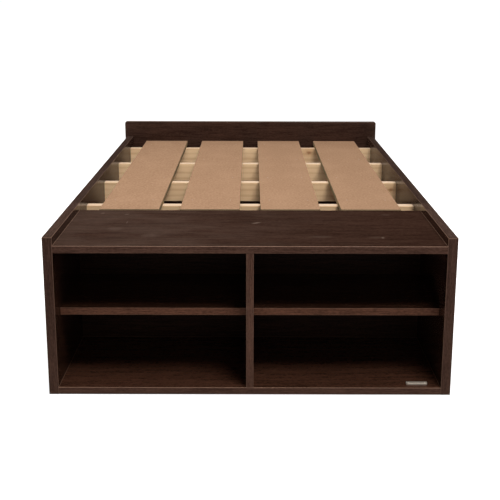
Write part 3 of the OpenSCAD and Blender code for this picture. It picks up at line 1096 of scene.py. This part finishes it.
@dataclass
class Fittings:
    """Screws, caps, dowels, cams, pins, nails and glides."""

    zinc: Tuple[str, ...] = (
        "connecting_screws",
        "cam_locks",
        "cam_bolts",
        "wood_screws",
        "slat_nails",
    )
    plastic: Tuple[str, ...] = ("cover_caps", "floor_glides")
    # painted shade: the shelf pins are coloured dark brown, as dark as the shade in the gaps beside
    # the shelves
    shaded_pin: Colour = shade(58, 45, 37)
    shaded_pin_haze: Colour = shade(42, 33, 28)
    dowel_seed: float = 41.0

    def dress(self) -> None:
        """Finish the fittings."""
        for node in self.zinc:
            dress(node, PlatedSteel())
        # painted shade: dark shelf pins
        dress("shelf_pins", PlatedSteel(self.shaded_pin, self.shaded_pin_haze))
        for node in self.plastic:
            dress(node, Moulded())
        dress("dowels", PlanedPine(Axis.Y, self.dowel_seed, pith=(0.0, 0.0)))


@dataclass
class BarePlate:
    """The small bare metal plate on the floor of the lower right niche.

    The middle of its top is raised by the crown, over the slope, inside a level rim.
    The setback is how far its middle lies behind the front of the board.
    """

    width: float = 56 * MM
    depth: float = 13 * MM
    height: float = 4.5 * MM
    corner: float = 3.5 * MM
    corner_steps: int = 8
    edge: float = 0.9 * MM
    edge_steps: int = 5
    rim: float = 0.9 * MM
    slope: float = 0.6 * MM
    crown: float = 0.3 * MM
    smooth_up_to: float = 60.0
    level_normal: float = 0.9
    least_top: float = 1 / 3
    centre_x: float = 0.4405
    setback: float = 28.5 * MM

    def build(self) -> None:
        """Model the plate and set it on the board."""
        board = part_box("bottom_board")
        bpy.ops.object.select_all(action="DESELECT")
        centre = (self.centre_x, board[0].y + self.setback, board[1].z + self.height / 2)
        bpy.ops.mesh.primitive_cube_add(size=1.0, location=centre)
        plate = bpy.context.active_object
        plate.name = "bare_plate"
        plate.scale = (self.width, self.depth, self.height)
        bpy.ops.object.transform_apply(location=True, rotation=True, scale=True)
        self.round_corners(plate)
        self.round_top_edge(plate)
        self.raise_crown(plate)
        bpy.ops.object.shade_smooth_by_angle(angle=math.radians(self.smooth_up_to))
        flat = plate.modifiers.new("flat_faces", "WEIGHTED_NORMAL")
        flat.keep_sharp = True
        bpy.ops.object.modifier_apply(modifier=flat.name)
        plate.data.materials.append(SatinPlate().build("bare_plate"))
        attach(plate, "root")
        top = max(vertex.co.z for vertex in plate.data.vertices) - board[1].z
        LOG.info("%s: %d faces, %.2f mm high", plate.name, len(plate.data.polygons), top / MM)

    def pick(self, plate: bpy.types.Object, kind: str, wanted: Callable[[Any], bool]) -> None:
        """Select edges or faces of the plate and stay in edit mode.

        Args:
            plate: The plate.
            kind: EDGE or FACE.
            wanted: Says whether an edge or face is to be selected.
        """
        bpy.ops.object.mode_set(mode="EDIT")
        bpy.ops.mesh.select_mode(type=kind)
        bpy.ops.mesh.select_all(action="DESELECT")
        bpy.ops.object.mode_set(mode="OBJECT")
        for item in plate.data.edges if kind == "EDGE" else plate.data.polygons:
            item.select = wanted(item)
        bpy.ops.object.mode_set(mode="EDIT")

    def pick_top(self, plate: bpy.types.Object) -> None:
        """Select the level top face, the largest that looks up, and stay in edit mode.

        Args:
            plate: The plate.
        """
        least = self.width * self.depth * self.least_top

        def is_top(face: bpy.types.MeshPolygon) -> bool:
            """Tell whether a face is the top."""
            return face.normal.z > self.level_normal and face.area > least

        self.pick(plate, "FACE", is_top)

    def round_corners(self, plate: bpy.types.Object) -> None:
        """Round the four upright corners of the plate.

        Args:
            plate: The plate.
        """
        points = plate.data.vertices

        def stands(edge: bpy.types.MeshEdge) -> bool:
            """Tell whether an edge stands upright."""
            start, end = (points[i].co for i in edge.vertices)
            return abs(start.z - end.z) > self.height / 2

        self.pick(plate, "EDGE", stands)
        bpy.ops.mesh.bevel(offset=self.corner, segments=self.corner_steps, affect="EDGES")
        bpy.ops.object.mode_set(mode="OBJECT")

    def round_top_edge(self, plate: bpy.types.Object) -> None:
        """Round the arris all round the top of the plate.

        Args:
            plate: The plate.
        """
        self.pick_top(plate)
        bpy.ops.mesh.bevel(offset=self.edge, segments=self.edge_steps, affect="EDGES")
        bpy.ops.object.mode_set(mode="OBJECT")

    def raise_crown(self, plate: bpy.types.Object) -> None:
        """Raise the middle of the plate a little above its rim.

        Args:
            plate: The plate.
        """
        self.pick_top(plate)
        bpy.ops.mesh.inset(thickness=self.rim, depth=0.0)
        bpy.ops.mesh.inset(thickness=self.slope, depth=self.crown)
        bpy.ops.object.mode_set(mode="OBJECT")


@dataclass(frozen=True)
class Lamp:
    """A softbox that looks at a point of the bed.

    The azimuth is in degrees from the foot, towards +X, and the elevation in degrees
    from the floor. The size is its width and its height. The level is how bright it
    makes a white face that is turned to it.
    """

    name: str
    azimuth: float
    elevation: float
    distance: float
    size: Tuple[float, float]
    level: float
    aim: Place = (0.0, -0.4, 0.35)

    def build(self) -> None:
        """Make the lamp and turn it to its aim."""
        data = bpy.data.lights.new(self.name, "AREA")
        data.shape = "RECTANGLE"
        data.size, data.size_y = self.size
        data.energy = self.level * (math.pi * self.distance) ** 2
        lamp = bpy.data.objects.new(self.name, data)
        turn, rise = math.radians(self.azimuth), math.radians(self.elevation)
        flat = math.cos(rise)
        away = Vector((math.sin(turn) * flat, -math.cos(turn) * flat, math.sin(rise)))
        lamp.location = Vector(self.aim) + away * self.distance
        lamp.rotation_euler = away.to_track_quat("Z", "Y").to_euler()
        bpy.context.scene.collection.objects.link(lamp)
        LOG.info("%s: level %.2f", self.name, self.level)


@dataclass
class Studio:
    """The pale floor, the lamps and the surroundings.

    The floor glows a little less near the bed, and reaches full white over the glow's
    reach. The glow stops at a seam under the bed's outer boards, the setback inside
    their front and rear faces.
    """

    floor_size: float = 400.0
    floor_colour: Colour = (0.8, 0.8, 0.8, 1.0)
    floor_glow: float = 0.8
    glow_reach: Span = (1.25, 3.0)
    setback: float = 12 * MM
    seam: float = 4 * MM
    ambient: float = 0.035
    lamps: Tuple[Lamp, ...] = (
        Lamp("key", 25.0, 55.5, 5.0, size=(1.5, 2.3), level=0.63, aim=(0.0, -0.2, 0.35)),
        Lamp("overhead", 0.0, 89.9, 2.3, size=(1.6, 2.4), level=0.75, aim=(-0.44, -0.17, 0.3)),
        Lamp("front", 8.0, 18.0, 4.5, size=(2.0, 1.6), level=0.055),
        Lamp("left", -110.0, 22.0, 4.0, size=(2.0, 2.0), level=0.12),
        Lamp("rear", 165.0, 25.0, 4.0, size=(2.0, 2.0), level=0.12),
    )

    def build(self) -> None:
        """Make the floor, the surroundings and the lamps."""
        self.build_floor()
        self.build_world()
        for lamp in self.lamps:
            lamp.build()

    def build_floor(self) -> None:
        """Lay a floor that looks white and keeps the bed's shadow."""
        bpy.ops.object.select_all(action="DESELECT")
        bpy.ops.mesh.primitive_plane_add(size=self.floor_size, location=(0.0, 0.0, 0.0))
        floor = bpy.context.active_object
        floor.name = "studio_floor"
        graph = Graph(bpy.data.materials.new("studio_floor"))
        matt = graph.node("ShaderNodeBsdfDiffuse", None, {"Color": self.floor_colour})
        length = {"operation": "LENGTH"}
        away = graph.node("ShaderNodeVectorMath", length, {0: graph.place()}, "Value")
        rise = away.ramp(*self.glow_reach).between(self.floor_glow, 1.0)
        strength = self.seen(graph) * rise * (1.0 - self.covered(graph))
        glow = graph.node("ShaderNodeEmission", None, {"Strength": strength})
        graph.close(graph.node("ShaderNodeAddShader", None, {0: matt, 1: glow}))
        floor.data.materials.append(graph.owner)

    def covered(self, graph: Graph) -> Net:
        """Mask the floor inside the bed, which doesn't glow and lies in the bed's shade.

        Args:
            graph: The graph to draw in.

        Returns:
            1 as far as the middle of the outer boards and 0 outside them.
        """
        rail, head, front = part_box("rail_right"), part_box("head_panel"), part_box("bottom_board")
        half_width = (rail[0].x + rail[1].x) / 2
        near, far = front[0].y + self.setback, head[1].y - self.setback
        across = self.within(abs(graph.along(Axis.X)), half_width)
        along = self.within(abs(graph.along(Axis.Y) - (near + far) / 2), (far - near) / 2)
        return across * along

    def within(self, distance: Net, limit: float) -> Net:
        """Return 1 where a distance is under a limit, over the width of the seam."""
        return distance.ramp(limit + self.seam / 2, limit - self.seam / 2)

    def seen(self, graph: Graph) -> Net:
        """Mask the rays that see the surroundings: straight, mirrored or through glass.

        Args:
            graph: The graph to draw in.

        Returns:
            1 for those rays and 0 for the light that falls on things.
        """
        kinds = ("Is Camera Ray", "Is Glossy Ray", "Is Transmission Ray")
        rays = [graph.node("ShaderNodeLightPath", output=kind) for kind in kinds]
        return reduce(Net.at_least, rays)

    def build_world(self) -> None:
        """Surround the bed with white that lights it only a little."""
        world = bpy.data.worlds.new("surroundings")
        bpy.context.scene.world = world
        graph = Graph(world)
        white = {"Color": WHITE, "Strength": self.seen(graph).between(self.ambient, 1.0)}
        graph.close(graph.node("ShaderNodeBackground", None, white), "ShaderNodeOutputWorld")


@dataclass
class Viewpoint:
    """The photograph's camera, for a square picture.

    The pitch is how far it looks down. It, the turn and the roll are in radians. The
    focal length and the centre are in pixels of the picture.
    """

    place: Place = (0.001, -3.5187, 1.0224)
    pitch: float = 0.26384
    turn: float = 0.00033
    roll: float = 0.00197
    picture: float = 500.0
    focal_length: float = 1043.0
    centre: Tuple[float, float] = (250.0, 272.83)

    def build(self) -> None:
        """Make the camera and use it."""
        data = bpy.data.cameras.new("photo_camera")
        data.lens = self.focal_length / self.picture * data.sensor_width
        data.shift_x = (self.picture / 2 - self.centre[0]) / self.picture
        data.shift_y = (self.centre[1] - self.picture / 2) / self.picture
        camera = bpy.data.objects.new("photo_camera", data)
        camera.location = self.place
        camera.rotation_euler = self.aim().to_euler()
        bpy.context.scene.collection.objects.link(camera)
        bpy.context.scene.camera = camera

    def aim(self) -> Matrix:
        """Return how the camera is turned: about Z, then down, then about its own axis."""
        turn = Matrix.Rotation(self.turn, 4, "Z")
        down = Matrix.Rotation(math.pi / 2 - self.pitch, 4, "X")
        return turn @ down @ Matrix.Rotation(self.roll, 4, "Z")


def main() -> None:
    """Build the picture of the bed, piece by piece."""
    logging.basicConfig(level=logging.INFO, format="%(name)s: %(message)s")
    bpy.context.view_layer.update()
    bpy.context.scene.view_settings.view_transform = "Standard"
    Viewpoint().build()
    Studio().build()
    NicheUnit().dress()
    Surround().dress()
    Deck().dress()
    Fittings().dress()
    BarePlate().build()


if __name__ == "__main__":
    main()
